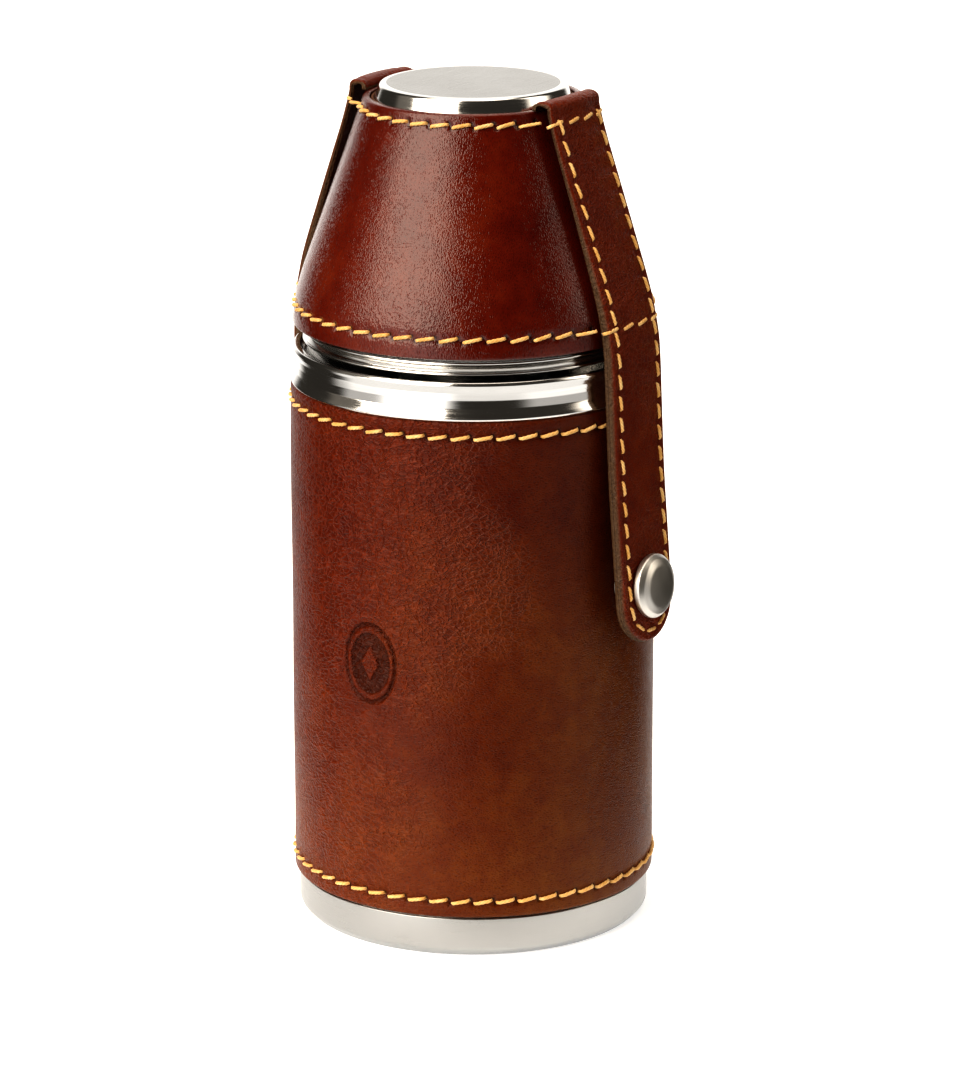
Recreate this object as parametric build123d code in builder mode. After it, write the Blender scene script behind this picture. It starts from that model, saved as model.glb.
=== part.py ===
from build123d import *
import math
import os

os.makedirs("parts", exist_ok=True)

# Driving dimensions, in millimetres. The flask stands on Z = 0 and its axis is Z.
# The stud strap is on +X, the hinge strap on -X and the stamped emblem faces -Y.
flask_height = 167.0
tube_radius = 34.2
tube_wall = 0.8
fit_gap = 0.05

base_radius = 34.9
base_height = 8.3
base_floor = 1.2

sleeve_radius = 36.0
sleeve_bottom = 8.4
sleeve_top = 108.0
sleeve_row_inset_top = 3.0
sleeve_row_inset_bottom = 3.4

band_bottom = 108.05
band_top = 115.7
band_lip_radius = 35.9
band_waist_radius = 35.0
band_upper_radius = 35.5

neck_bore = 9.0
neck_radius = 11.0
neck_top = 132.0
thread_pitch = 3.0
thread_depth = 0.9
thread_turns = 2.5

cap_bottom = 119.5
cap_top = 138.0
cap_radius = 14.6

cup_count = 4
cup_height = 44.75
cup_pitch = 2.05
cup_wall = 0.42
cup_rim_radius = 33.95
cup_mouth_radius = 33.25
cup_crown_radius = 18.1
rim_bead = 0.8

cover_bottom = 120.0
cover_top = 164.6

strap_width = 17.4
strap_thickness = 2.4
strap_row_inset = 2.0
strap_hinge_x = -37.3
strap_hinge_z = 110.0
tab_hinge_z = 120.0
tab_tip_z = 61.5
stud_z = 72.4
snap_cap_radius = 6.15

stitch_pitch = 4.4
stitch_length = 3.3
stitch_width = 0.9
stitch_height = 0.45
stitch_slant = 8.0

emblem_z = 58.5
emblem_width = 12.5
emblem_height = 17.0
emblem_depth = 0.4

# Outer face of the leather cone, from its top rim down to its bottom edge.
cone_outer = [(21.4, cover_top), (33.6, 129.9), (35.15, 124.2), (35.4, 121.5), (35.4, cover_bottom)]
# Outer face of the hanging strap tab, from its hinge line down to its tip.
tab_outer = [(38.15, tab_hinge_z), (39.5, 94.0), (41.2, stud_z), (42.0, tab_tip_z)]


def radius_at(profile, z):
    """Radius of a falling polyline of (radius, z) points at one height."""
    for upper, lower in zip(profile, profile[1:]):
        if upper[1] >= z >= lower[1]:
            share = (upper[1] - z) / (upper[1] - lower[1])
            return upper[0] + share * (lower[0] - upper[0])
    return profile[0][0] if z > profile[0][1] else profile[-1][0]


def slope_at(profile, z):
    """Growth of the radius for each millimetre down the polyline."""
    return (radius_at(profile, z - 0.2) - radius_at(profile, z + 0.2)) / 0.4


def ring_stitches(radius, z, slope, count):
    """Planes of a stitch row around the axis, each lying on a cone of the given slope."""
    planes = []
    for index in range(count):
        angle = 2 * math.pi * (index + 0.5) / count
        outward = Vector(math.cos(angle), math.sin(angle), slope)
        along = Vector(-math.sin(angle), math.cos(angle), 0)
        origin = Vector(radius * math.cos(angle), radius * math.sin(angle), z)
        planes.append(Plane(origin=origin, x_dir=along, z_dir=outward))
    return planes


def strap_stitches(side, profile, top_z, end_z, flat, lift):
    """Planes of the two straight stitch rows of a strap, following its outer face."""
    planes = []
    offset_y = strap_width / 2 - strap_row_inset
    count = max(1, round((top_z - end_z) / stitch_pitch))
    step = (top_z - end_z) / count
    for index in range(count):
        z = top_z - step * (index + 0.5)
        slope = slope_at(profile, z)
        face = radius_at(profile, z) + lift
        for y in (-offset_y, offset_y):
            turn = 0.0 if flat else math.asin(y / face)
            reach = face if flat else face * math.cos(turn)
            outward = Vector(side * math.cos(turn), math.sin(turn), slope)
            down = Vector(side * slope * math.cos(turn), slope * math.sin(turn), -1)
            origin = Vector(side * reach, y, z)
            planes.append(Plane(origin=origin, x_dir=down, z_dir=outward))
    return planes


def strap_end_stitches(side, profile, centre_z, flat, lift):
    """Planes of the stitches that follow the round end of a strap."""
    planes = []
    radius = strap_width / 2 - strap_row_inset
    count = round(math.pi * radius / stitch_pitch)
    for index in range(count):
        angle = math.pi * (index + 0.5) / count
        y = radius * math.cos(angle)
        z = centre_z - radius * math.sin(angle)
        slope = slope_at(profile, z)
        face = radius_at(profile, z) + lift
        turn = 0.0 if flat else math.asin(y / face)
        reach = face if flat else face * math.cos(turn)
        outward = Vector(side * math.cos(turn), math.sin(turn), slope)
        run_y = -math.sin(angle)
        run_z = -math.cos(angle)
        along = Vector(-side * slope * run_z, run_y, run_z)
        origin = Vector(side * reach, y, z)
        planes.append(Plane(origin=origin, x_dir=along, z_dir=outward))
    return planes


def stitch(length):
    """One thread stitch: a short bar with its underside on the leather."""
    Box(length, stitch_width, stitch_height, rotation=(0, 0, stitch_slant),
        align=(Align.CENTER, Align.CENTER, Align.MIN))


# Base cup: brushed steel dish with a flat underside and a rounded lower edge.
with BuildPart() as base_cup:
    with BuildSketch(Plane.XZ):
        with BuildLine():
            Polyline((0, 0), (33.4, 0), (base_radius, 1.5), (base_radius, base_height),
                     (tube_radius + fit_gap, base_height), (tube_radius + fit_gap, base_floor),
                     (0, base_floor), (0, 0))
        make_face()
    revolve(axis=Axis.Z)
    wall_edges = base_cup.edges().filter_by(GeomType.CIRCLE).sort_by(SortBy.RADIUS)[-2:]
    fillet(wall_edges.sort_by(Axis.Z)[0], 1.2)
    with BuildSketch(Plane.XY):
        Circle(30.0)
        Circle(29.0, mode=Mode.SUBTRACT)
    extrude(amount=0.3, mode=Mode.SUBTRACT)

# Body tube: drawn steel vessel with its own floor, open to the shoulder.
with BuildPart() as body_tube:
    with BuildSketch(Plane.XZ):
        with BuildLine():
            floor_z = base_floor + fit_gap
            Polyline((0, floor_z), (tube_radius, floor_z), (tube_radius, 114.0),
                     (tube_radius - tube_wall, 114.0), (tube_radius - tube_wall, floor_z + 1.0),
                     (0, floor_z + 1.0), (0, floor_z))
        make_face()
    revolve(axis=Axis.Z)

# Shoulder: polished band with two lips and a waist, and the plate that carries the neck.
with BuildPart() as shoulder:
    with BuildSketch(Plane.XZ):
        with BuildLine():
            ThreePointArc((band_lip_radius - 0.5, band_bottom), (band_lip_radius, 108.6),
                          (band_lip_radius - 0.35, 109.3))
            ThreePointArc((band_lip_radius - 0.35, 109.3), (band_waist_radius, 112.0),
                          (band_upper_radius - 0.25, 114.5))
            ThreePointArc((band_upper_radius - 0.25, 114.5), (band_upper_radius, 115.1),
                          (band_upper_radius - 0.5, band_top))
            Polyline((band_upper_radius - 0.5, band_top), (neck_radius + fit_gap, band_top),
                     (neck_radius + fit_gap, 114.1), (tube_radius + fit_gap, 114.1),
                     (tube_radius + fit_gap, band_bottom), (band_lip_radius - 0.5, band_bottom))
        make_face()
    revolve(axis=Axis.Z)

# Neck: threaded steel spout that carries the screw cap, flanged under the shoulder plate.
with BuildPart() as neck:
    with BuildSketch(Plane.XZ):
        with BuildLine():
            Polyline((neck_bore, 112.9), (15.0, 112.9), (15.0, 114.05), (neck_radius, 114.05),
                     (neck_radius, neck_top - 0.5), (neck_radius - 0.5, neck_top),
                     (neck_bore, neck_top), (neck_bore, 112.9))
        make_face()
    revolve(axis=Axis.Z)
    with BuildLine():
        neck_helix = Helix(pitch=thread_pitch, height=thread_pitch * thread_turns,
                           radius=neck_radius, center=(0, 0, 122.0))
    with BuildSketch(Plane(origin=neck_helix @ 0, x_dir=(1, 0, 0), z_dir=neck_helix % 0)):
        with BuildLine():
            Polyline((-0.3, -0.65), (0, -0.65), (thread_depth, -0.3), (thread_depth, 0.3),
                     (0, 0.65), (-0.3, 0.65), (-0.3, -0.65))
        make_face()
    sweep(path=neck_helix, is_frenet=True)

# Cap insert: moulded liner with the matching inner thread.
insert_bore = neck_radius + thread_depth + 0.35
with BuildPart() as cap_insert:
    with BuildSketch(Plane.XZ):
        with BuildLine():
            Polyline((insert_bore, cap_bottom + 0.4), (13.2, cap_bottom + 0.4), (13.2, 134.6),
                     (0, 134.6), (0, 133.7), (insert_bore, 133.7), (insert_bore, cap_bottom + 0.4))
        make_face()
    revolve(axis=Axis.Z)
    with BuildLine():
        insert_helix = Helix(pitch=thread_pitch, height=thread_pitch * thread_turns,
                             radius=insert_bore, center=(0, 0, 120.5))
    with BuildSketch(Plane(origin=insert_helix @ 0, x_dir=(1, 0, 0), z_dir=insert_helix % 0)):
        with BuildLine():
            Polyline((0.3, -0.6), (0, -0.6), (-thread_depth, -0.25), (-thread_depth, 0.25),
                     (0, 0.6), (0.3, 0.6), (0.3, -0.6))
        make_face()
    sweep(path=insert_helix, is_frenet=True)

# Cap seal: flexible washer that rests on the mouth of the neck.
with BuildPart() as cap_seal:
    with Locations((0, 0, neck_top + 0.1)):
        Cylinder(11.8, 1.3, align=(Align.CENTER, Align.CENTER, Align.MIN))
    fillet(cap_seal.edges(), 0.2)

# Cap shell: steel screw cap with a grooved grip and a rounded crown.
with BuildPart() as cap_shell:
    with Locations((0, 0, cap_bottom)):
        Cylinder(cap_radius, cap_top - cap_bottom, align=(Align.CENTER, Align.CENTER, Align.MIN))
    fillet(cap_shell.edges().group_by(Axis.Z)[-1], 1.6)
    with Locations((0, 0, cap_bottom)):
        Cylinder(13.25, 134.7 - cap_bottom, align=(Align.CENTER, Align.CENTER, Align.MIN),
                 mode=Mode.SUBTRACT)
    with BuildSketch(Plane.XY.offset(cap_bottom + 2.0)):
        with PolarLocations(cap_radius + 0.35, 36):
            Circle(0.75)
    extrude(amount=11.0, mode=Mode.SUBTRACT)


def build_cup(crown_z):
    """Inverted drinking cup: thin cone, flat crown and a rolled rim, hanging from crown_z."""
    rim_z = crown_z - cup_height
    inner_mouth = cup_mouth_radius - cup_wall
    wall_slope = (cup_mouth_radius - cup_crown_radius) / (cup_height - rim_bead)
    inner_crown = cup_crown_radius + 0.6 * wall_slope - cup_wall
    with BuildPart() as cup:
        with BuildSketch(Plane.XZ):
            with BuildLine():
                Polyline((0, crown_z), (cup_crown_radius, crown_z), (cup_mouth_radius, rim_z + rim_bead),
                         (inner_mouth, rim_z + rim_bead), (inner_crown, crown_z - 0.6),
                         (0, crown_z - 0.6), (0, crown_z))
            make_face()
            fillet(vertices().group_by(Axis.Y)[-1].sort_by(Axis.X)[-1], 1.3)
        revolve(axis=Axis.Z)
        with BuildSketch(Plane.XZ):
            with BuildLine():
                ThreePointArc((inner_mouth, rim_z), (cup_rim_radius, rim_z + rim_bead),
                              (inner_mouth, rim_z + 2 * rim_bead))
                Line((inner_mouth, rim_z + 2 * rim_bead), (inner_mouth, rim_z))
            make_face()
        revolve(axis=Axis.Z)
    return cup


# Nested cups, from the outermost, whose crown shows at the top, to the innermost.
cup_1 = build_cup(flask_height)
cup_2 = build_cup(flask_height - cup_pitch)
cup_3 = build_cup(flask_height - 2 * cup_pitch)
cup_4 = build_cup(flask_height - 3 * cup_pitch)

# Stamp: oval rings that sink into the sleeve by the emblem's depth.
with BuildPart() as stamp:
    with BuildSketch(Plane.XZ.offset(30.0)):
        with Locations((0, emblem_z)):
            Ellipse(emblem_width / 2, emblem_height / 2)
            Ellipse(emblem_width / 2 - 0.9, emblem_height / 2 - 0.9, mode=Mode.SUBTRACT)
            Ellipse(emblem_width / 2 - 2.2, emblem_height / 2 - 2.2)
    extrude(amount=10.0)
    with Locations((0, 0, emblem_z)):
        Cylinder(sleeve_radius - emblem_depth, 30.0, mode=Mode.SUBTRACT)

# Sleeve: leather wrapped around the tube, with a blind-stamped oval on -Y and the stud hole on +X.
with BuildPart() as sleeve:
    with Locations((0, 0, sleeve_bottom)):
        Cylinder(sleeve_radius, sleeve_top - sleeve_bottom,
                 align=(Align.CENTER, Align.CENTER, Align.MIN))
    fillet(sleeve.edges().filter_by(GeomType.CIRCLE), 0.5)
    with Locations((0, 0, sleeve_bottom)):
        Cylinder(tube_radius + fit_gap, sleeve_top - sleeve_bottom,
                 align=(Align.CENTER, Align.CENTER, Align.MIN), mode=Mode.SUBTRACT)
    add(stamp.part, mode=Mode.SUBTRACT)
    with BuildSketch(Plane.YZ.offset(30.0)):
        with Locations((0, stud_z)):
            Circle(1.6)
    extrude(amount=10.0, mode=Mode.SUBTRACT)

# Snap stud: rivet through the sleeve with a flange and a domed head.
with BuildPart() as snap_stud:
    with BuildSketch(Plane.XZ):
        with BuildLine():
            ThreePointArc((39.3, stud_z), (37.1 + 2.2 * math.sqrt(0.5), stud_z + 2.2 * math.sqrt(0.5)),
                          (37.1, stud_z + 2.2))
            Polyline((37.1, stud_z + 2.2), (37.1, stud_z + 1.6), (36.7, stud_z + 1.6),
                     (36.7, stud_z + 4.6), (36.05, stud_z + 4.6), (36.05, stud_z + 1.5),
                     (34.3, stud_z + 1.5), (34.3, stud_z), (39.3, stud_z))
        make_face()
    revolve(axis=Axis((0, 0, stud_z), (1, 0, 0)))


# Hinge strap, lower part: sewn flat to the sleeve and covering its seam.
lower_face = [(sleeve_radius + fit_gap + strap_thickness, 107.7),
              (sleeve_radius + fit_gap + strap_thickness, tab_tip_z)]
with BuildPart() as back_strap_lower:
    with BuildSketch(Plane.XZ):
        with Locations((sleeve_radius + fit_gap, tab_tip_z)):
            Rectangle(strap_thickness, 107.7 - tab_tip_z, align=(Align.MIN, Align.MIN))
    revolve(axis=Axis.Z)
    with BuildSketch(Plane.YZ.offset(-50.0)):
        with Locations((0, tab_tip_z + strap_width / 2)):
            Circle(strap_width / 2)
        with Locations((0, (107.7 + tab_tip_z + strap_width / 2) / 2)):
            Rectangle(strap_width, 107.7 - tab_tip_z - strap_width / 2)
    extrude(amount=30.0, mode=Mode.INTERSECT)

# Hinge strap, upper part: runs down the cone and across the metal band to the hinge line.
strap_on_cone = [(radius + fit_gap, z) for radius, z in cone_outer]
cone_strap_top = [(19.4, cover_top + 0.05), (21.45, cover_top + 0.05)]
back_upper_inner = cone_strap_top + strap_on_cone[1:3] + [(36.2, 117.5), (36.2, strap_hinge_z + 0.3)]
back_upper_face = [(radius + strap_thickness, z) for radius, z in back_upper_inner[1:]]
with BuildPart() as back_strap_upper:
    with BuildSketch(Plane.XZ):
        with BuildLine():
            Polyline(*back_upper_inner, *reversed(back_upper_face), (22.6, cover_top + 2.1),
                     (20.3, cover_top + 2.4), (19.4, cover_top + 2.2), back_upper_inner[0])
        make_face()
    revolve(axis=Axis.Z)
    with Locations((-30.0, 0, 140.0)):
        Box(60.0, strap_width, 100.0, mode=Mode.INTERSECT)

# Stud strap, upper part: runs down the cone and ends just above the tab's hinge line.
front_end_z = tab_hinge_z + 2.0
front_upper_inner = cone_strap_top + strap_on_cone[1:3] + [(35.45, front_end_z)]
front_upper_face = [(radius + strap_thickness, z) for radius, z in front_upper_inner[1:]]
with BuildPart() as front_strap_upper:
    with BuildSketch(Plane.XZ):
        with BuildLine():
            Polyline(*front_upper_inner, *reversed(front_upper_face), (22.6, cover_top + 2.1),
                     (20.3, cover_top + 2.4), (19.4, cover_top + 2.2), front_upper_inner[0])
        make_face()
    revolve(axis=Axis.Z)
    with Locations((30.0, 0, 140.0)):
        Box(60.0, strap_width, 100.0, mode=Mode.INTERSECT)

# Stud strap, hanging tab: springs away from the sleeve towards its round end.
tab_face = [(radius_at(tab_outer, tab_hinge_z - 0.3), tab_hinge_z - 0.3)] + tab_outer[1:]
tab_inner = [(radius - strap_thickness, z) for radius, z in tab_face]
tab_slope = slope_at(tab_outer, stud_z + 0.5)
snap_plane = Plane(origin=(tab_outer[2][0], 0, stud_z), x_dir=(0, 1, 0), z_dir=(1, 0, 0.077))
with BuildPart() as front_strap_tab:
    with BuildSketch(Plane.XZ):
        with BuildLine():
            Polyline(*tab_face, *reversed(tab_inner), tab_face[0])
        make_face()
    extrude(amount=strap_width / 2, both=True)
    with BuildSketch(Plane.YZ.offset(30.0)):
        with Locations((0, tab_tip_z + strap_width / 2)):
            Circle(strap_width / 2)
        with Locations((0, (120.0 + tab_tip_z + strap_width / 2) / 2)):
            Rectangle(strap_width, 120.0 - tab_tip_z - strap_width / 2)
    extrude(amount=20.0, mode=Mode.INTERSECT)
    with BuildSketch(snap_plane):
        Circle(2.0)
    extrude(amount=-5.0, mode=Mode.SUBTRACT)
    with BuildSketch(snap_plane.offset(-1.2)):
        Circle(4.4)
    extrude(amount=-5.0, mode=Mode.SUBTRACT)

# Snap cap: domed button on the tab with a post through the leather.
with BuildPart() as snap_cap:
    with BuildSketch(snap_plane.offset(0.05)):
        Circle(snap_cap_radius)
    extrude(amount=1.8)
    fillet(snap_cap.edges().filter_by(GeomType.CIRCLE).sort_by(Axis.X)[-1], 1.3)
    with BuildSketch(snap_plane.offset(0.05)):
        Circle(1.9)
    extrude(amount=-1.1)

# Snap socket: cup set in the tab's inner face, open towards the stud.
with BuildPart() as snap_socket:
    with BuildSketch(snap_plane.offset(-1.25)):
        Circle(4.3)
    extrude(amount=-1.2)
    with BuildSketch(snap_plane.offset(-2.45)):
        Circle(5.6)
    extrude(amount=-0.9)
    with BuildSketch(snap_plane.offset(-1.6)):
        Circle(3.8)
    extrude(amount=-3.0, mode=Mode.SUBTRACT)

# Snap spring: two wires in the socket, stored at the width they spring open to.
with BuildPart() as snap_spring:
    for wire_y in (-2.85, 2.85):
        with BuildSketch(Plane(origin=snap_plane.offset(-2.7).from_local_coords((wire_y, 0, 0)),
                               z_dir=(-0.077, 0, 1))):
            Circle(0.25)
        extrude(amount=2.1, both=True)

# Cover leather: stitched cone that holds the nest of cups, thinned over the rolled rims.
with BuildPart() as cover_leather:
    with BuildSketch(Plane.XZ):
        with BuildLine():
            Polyline(*cone_outer, (34.25, cover_bottom), (34.25, 124.2), (32.0, 129.6),
                     (19.8, cover_top), cone_outer[0])
        make_face()
    revolve(axis=Axis.Z)

# Cover lining: thin inner leather, glued inside the cone above the rims.
with BuildPart() as cover_lining:
    with BuildSketch(Plane.XZ):
        with BuildLine():
            Polyline((19.86, cover_top - 0.4), (31.95, 129.6), (33.87, 125.0), (33.1, 125.0),
                     (31.35, 129.7), (19.2, cover_top - 0.4), (19.86, cover_top - 0.4))
        make_face()
    revolve(axis=Axis.Z)

# Stitch rows around the sleeve and around the cone, left out where a strap lies over them.
sleeve_count = round(2 * math.pi * sleeve_radius / stitch_pitch)
strap_cover = strap_width / 2 + 1.8
with BuildPart() as sleeve_top_thread:
    row = ring_stitches(sleeve_radius + 0.03, sleeve_top - sleeve_row_inset_top, 0, sleeve_count)
    with Locations(*[p for p in row if p.origin.X > 0 or abs(p.origin.Y) > strap_cover]):
        stitch(stitch_length)

with BuildPart() as sleeve_bottom_thread:
    row = ring_stitches(sleeve_radius + 0.03, sleeve_bottom + sleeve_row_inset_bottom, 0, sleeve_count)
    with Locations(*row):
        stitch(stitch_length)

cover_low_z = cover_bottom + 3.8
cover_low_radius = radius_at(cone_outer, cover_low_z)
with BuildPart() as cover_bottom_thread:
    low_slope = slope_at(cone_outer, cover_low_z)
    row = ring_stitches(cover_low_radius + 0.05, cover_low_z, low_slope, sleeve_count - 1)
    with Locations(*[p for p in row if abs(p.origin.Y) > strap_cover]):
        stitch(stitch_length)

cover_high_z = cover_top - 2.2
cover_high_radius = radius_at(cone_outer, cover_high_z)
with BuildPart() as cover_top_thread:
    high_slope = slope_at(cone_outer, cover_high_z)
    row = ring_stitches(cover_high_radius + 0.05, cover_high_z, high_slope, 34)
    with Locations(*[p for p in row if abs(p.origin.Y) > strap_cover]):
        stitch(3.0)

# Stitch rows along the straps.
with BuildPart() as front_strap_upper_thread:
    rows = strap_stitches(1, front_upper_face, 163.5, 131.5, False, 0.05)
    with Locations(*rows):
        stitch(stitch_length)

with BuildPart() as back_strap_upper_thread:
    rows = strap_stitches(-1, back_upper_face, 163.5, 131.5, False, 0.05)
    with Locations(*rows):
        stitch(stitch_length)

end_centre_z = tab_tip_z + strap_width / 2
with BuildPart() as front_strap_tab_thread:
    rows = strap_stitches(1, tab_face, 117.5, end_centre_z, True, 0.08)
    rows += strap_end_stitches(1, tab_face, end_centre_z, True, 0.08)
    with Locations(*rows):
        stitch(stitch_length)

with BuildPart() as back_strap_lower_thread:
    rows = strap_stitches(-1, lower_face, 106.5, end_centre_z, False, 0.05)
    rows += strap_end_stitches(-1, lower_face, end_centre_z, False, 0.05)
    with Locations(*rows):
        stitch(stitch_length)

nodes = {
    "base_cup": base_cup,
    "body_tube": body_tube,
    "shoulder": shoulder,
    "neck": neck,
    "sleeve": sleeve,
    "sleeve_top_thread": sleeve_top_thread,
    "sleeve_bottom_thread": sleeve_bottom_thread,
    "back_strap_lower": back_strap_lower,
    "back_strap_lower_thread": back_strap_lower_thread,
    "snap_stud": snap_stud,
    "cap_seal": cap_seal,
    "cap_insert": cap_insert,
    "cap_shell": cap_shell,
    "cup_1": cup_1,
    "cup_2": cup_2,
    "cup_3": cup_3,
    "cup_4": cup_4,
    "cover_leather": cover_leather,
    "cover_lining": cover_lining,
    "cover_top_thread": cover_top_thread,
    "cover_bottom_thread": cover_bottom_thread,
    "front_strap_upper": front_strap_upper,
    "front_strap_upper_thread": front_strap_upper_thread,
    "back_strap_upper": back_strap_upper,
    "back_strap_upper_thread": back_strap_upper_thread,
    "front_strap_tab": front_strap_tab,
    "front_strap_tab_thread": front_strap_tab_thread,
    "snap_cap": snap_cap,
    "snap_socket": snap_socket,
    "snap_spring": snap_spring,
}

for node_name, builder in nodes.items():
    builder.part.label = node_name
    export_step(builder.part, "parts/" + node_name + ".step")
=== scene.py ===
"""Looks of the hip flask: leather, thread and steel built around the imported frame."""
import math

import bmesh
import bpy
import numpy as np
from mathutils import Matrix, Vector


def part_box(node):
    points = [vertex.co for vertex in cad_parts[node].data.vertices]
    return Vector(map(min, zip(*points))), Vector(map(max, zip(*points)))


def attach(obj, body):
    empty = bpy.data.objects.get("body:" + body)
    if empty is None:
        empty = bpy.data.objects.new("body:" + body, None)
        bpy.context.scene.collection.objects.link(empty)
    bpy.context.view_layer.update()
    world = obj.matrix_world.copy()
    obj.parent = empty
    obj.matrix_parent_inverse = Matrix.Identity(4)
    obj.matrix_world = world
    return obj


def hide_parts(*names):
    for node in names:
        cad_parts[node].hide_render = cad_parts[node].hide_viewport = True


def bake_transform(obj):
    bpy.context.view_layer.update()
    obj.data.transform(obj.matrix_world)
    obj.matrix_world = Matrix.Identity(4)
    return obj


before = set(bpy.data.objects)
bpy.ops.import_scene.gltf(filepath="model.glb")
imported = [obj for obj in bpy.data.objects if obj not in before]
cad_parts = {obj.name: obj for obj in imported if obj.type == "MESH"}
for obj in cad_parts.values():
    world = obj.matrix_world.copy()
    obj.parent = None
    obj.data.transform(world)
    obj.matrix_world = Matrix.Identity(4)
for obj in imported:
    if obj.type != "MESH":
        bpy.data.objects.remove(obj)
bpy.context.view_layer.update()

MM = 0.001
rng = np.random.default_rng(11)


def size_of(node):
    """Lowest and highest corner of a CAD node, in millimetres."""
    low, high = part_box(node)
    return np.array(low) / MM, np.array(high) / MM


sleeve_low, sleeve_high = size_of("sleeve")
cover_low, cover_high = size_of("cover_leather")
base_high = size_of("base_cup")[1]
band_low, band_high = size_of("shoulder")
tab_high = size_of("front_strap_tab")[1]
snap_low, snap_high = size_of("snap_cap")

SLEEVE_R = sleeve_high[0]
SLEEVE_TOP = sleeve_high[2]
SLEEVE_BOTTOM = sleeve_low[2]
COVER_TOP = cover_high[2]
COVER_BOTTOM = cover_low[2]
STRAP_HALF = tab_high[1]
STRAP_THICK = 2.4
STRAP_INSET = 2.0
STUD_Z = (snap_high[2] + snap_low[2]) / 2
PITCH = 4.4
STRAP_PITCH = 4.2
STITCH = 3.9
STRAP_STITCH = 3.4
THREAD_R = 0.36
STITCH_LIFT = 0.3
ROW_SLANT = 11.0
RING_SIDES = 96


# ------------------------------------------------------------------ materials


def new_material(name):
    material = bpy.data.materials.new(name)
    material.use_nodes = True
    tree = material.node_tree
    tree.nodes.clear()
    out = tree.nodes.new("ShaderNodeOutputMaterial")
    shader = tree.nodes.new("ShaderNodeBsdfPrincipled")
    tree.links.new(shader.outputs[0], out.inputs[0])
    return material, tree, shader


def node(tree, kind, inputs=None, **props):
    made = tree.nodes.new(kind)
    for key, value in props.items():
        setattr(made, key, value)
    for key, value in (inputs or {}).items():
        if isinstance(value, bpy.types.NodeSocket):
            tree.links.new(value, made.inputs[key])
        else:
            made.inputs[key].default_value = value
    return made


def math_node(tree, operation, a, b=0.0, clamp=False):
    return node(tree, "ShaderNodeMath", {0: a, 1: b}, operation=operation, use_clamp=clamp).outputs[0]


def object_coords(tree, scale, offset=(0, 0, 0)):
    coords = node(tree, "ShaderNodeTexCoord")
    mapping = node(tree, "ShaderNodeMapping", {"Vector": coords.outputs["Object"]})
    mapping.inputs["Scale"].default_value = scale
    mapping.inputs["Location"].default_value = offset
    return mapping.outputs[0]


def noise(tree, vector, scale, detail=4.0, rough=0.55, distortion=0.0):
    return node(tree, "ShaderNodeTexNoise", {"Vector": vector, "Scale": scale, "Detail": detail,
                "Roughness": rough, "Distortion": distortion}).outputs["Fac"]


def ramp(tree, value, stops):
    made = node(tree, "ShaderNodeValToRGB", {"Fac": value})
    elements = made.color_ramp.elements
    while len(elements) < len(stops):
        elements.new(0.5)
    for element, (position, color) in zip(elements, stops):
        element.position = position
        element.color = (*color, 1.0)
    return made.outputs["Color"]


def remap(tree, value, low, high, to_low=0.0, to_high=1.0, smooth=False):
    return node(tree, "ShaderNodeMapRange", {"Value": value, "From Min": low, "From Max": high,
                "To Min": to_low, "To Max": to_high},
                interpolation_type="SMOOTHSTEP" if smooth else "LINEAR").outputs[0]


def mix_color(tree, factor, a, b, blend="MIX"):
    made = tree.nodes.new("ShaderNodeMix")
    made.data_type = "RGBA"
    made.blend_type = blend
    for socket, value in ((made.inputs["Factor"], factor), (made.inputs[6], a), (made.inputs[7], b)):
        if isinstance(value, bpy.types.NodeSocket):
            tree.links.new(value, socket)
        else:
            socket.default_value = value
    return made.outputs[2]


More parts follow.
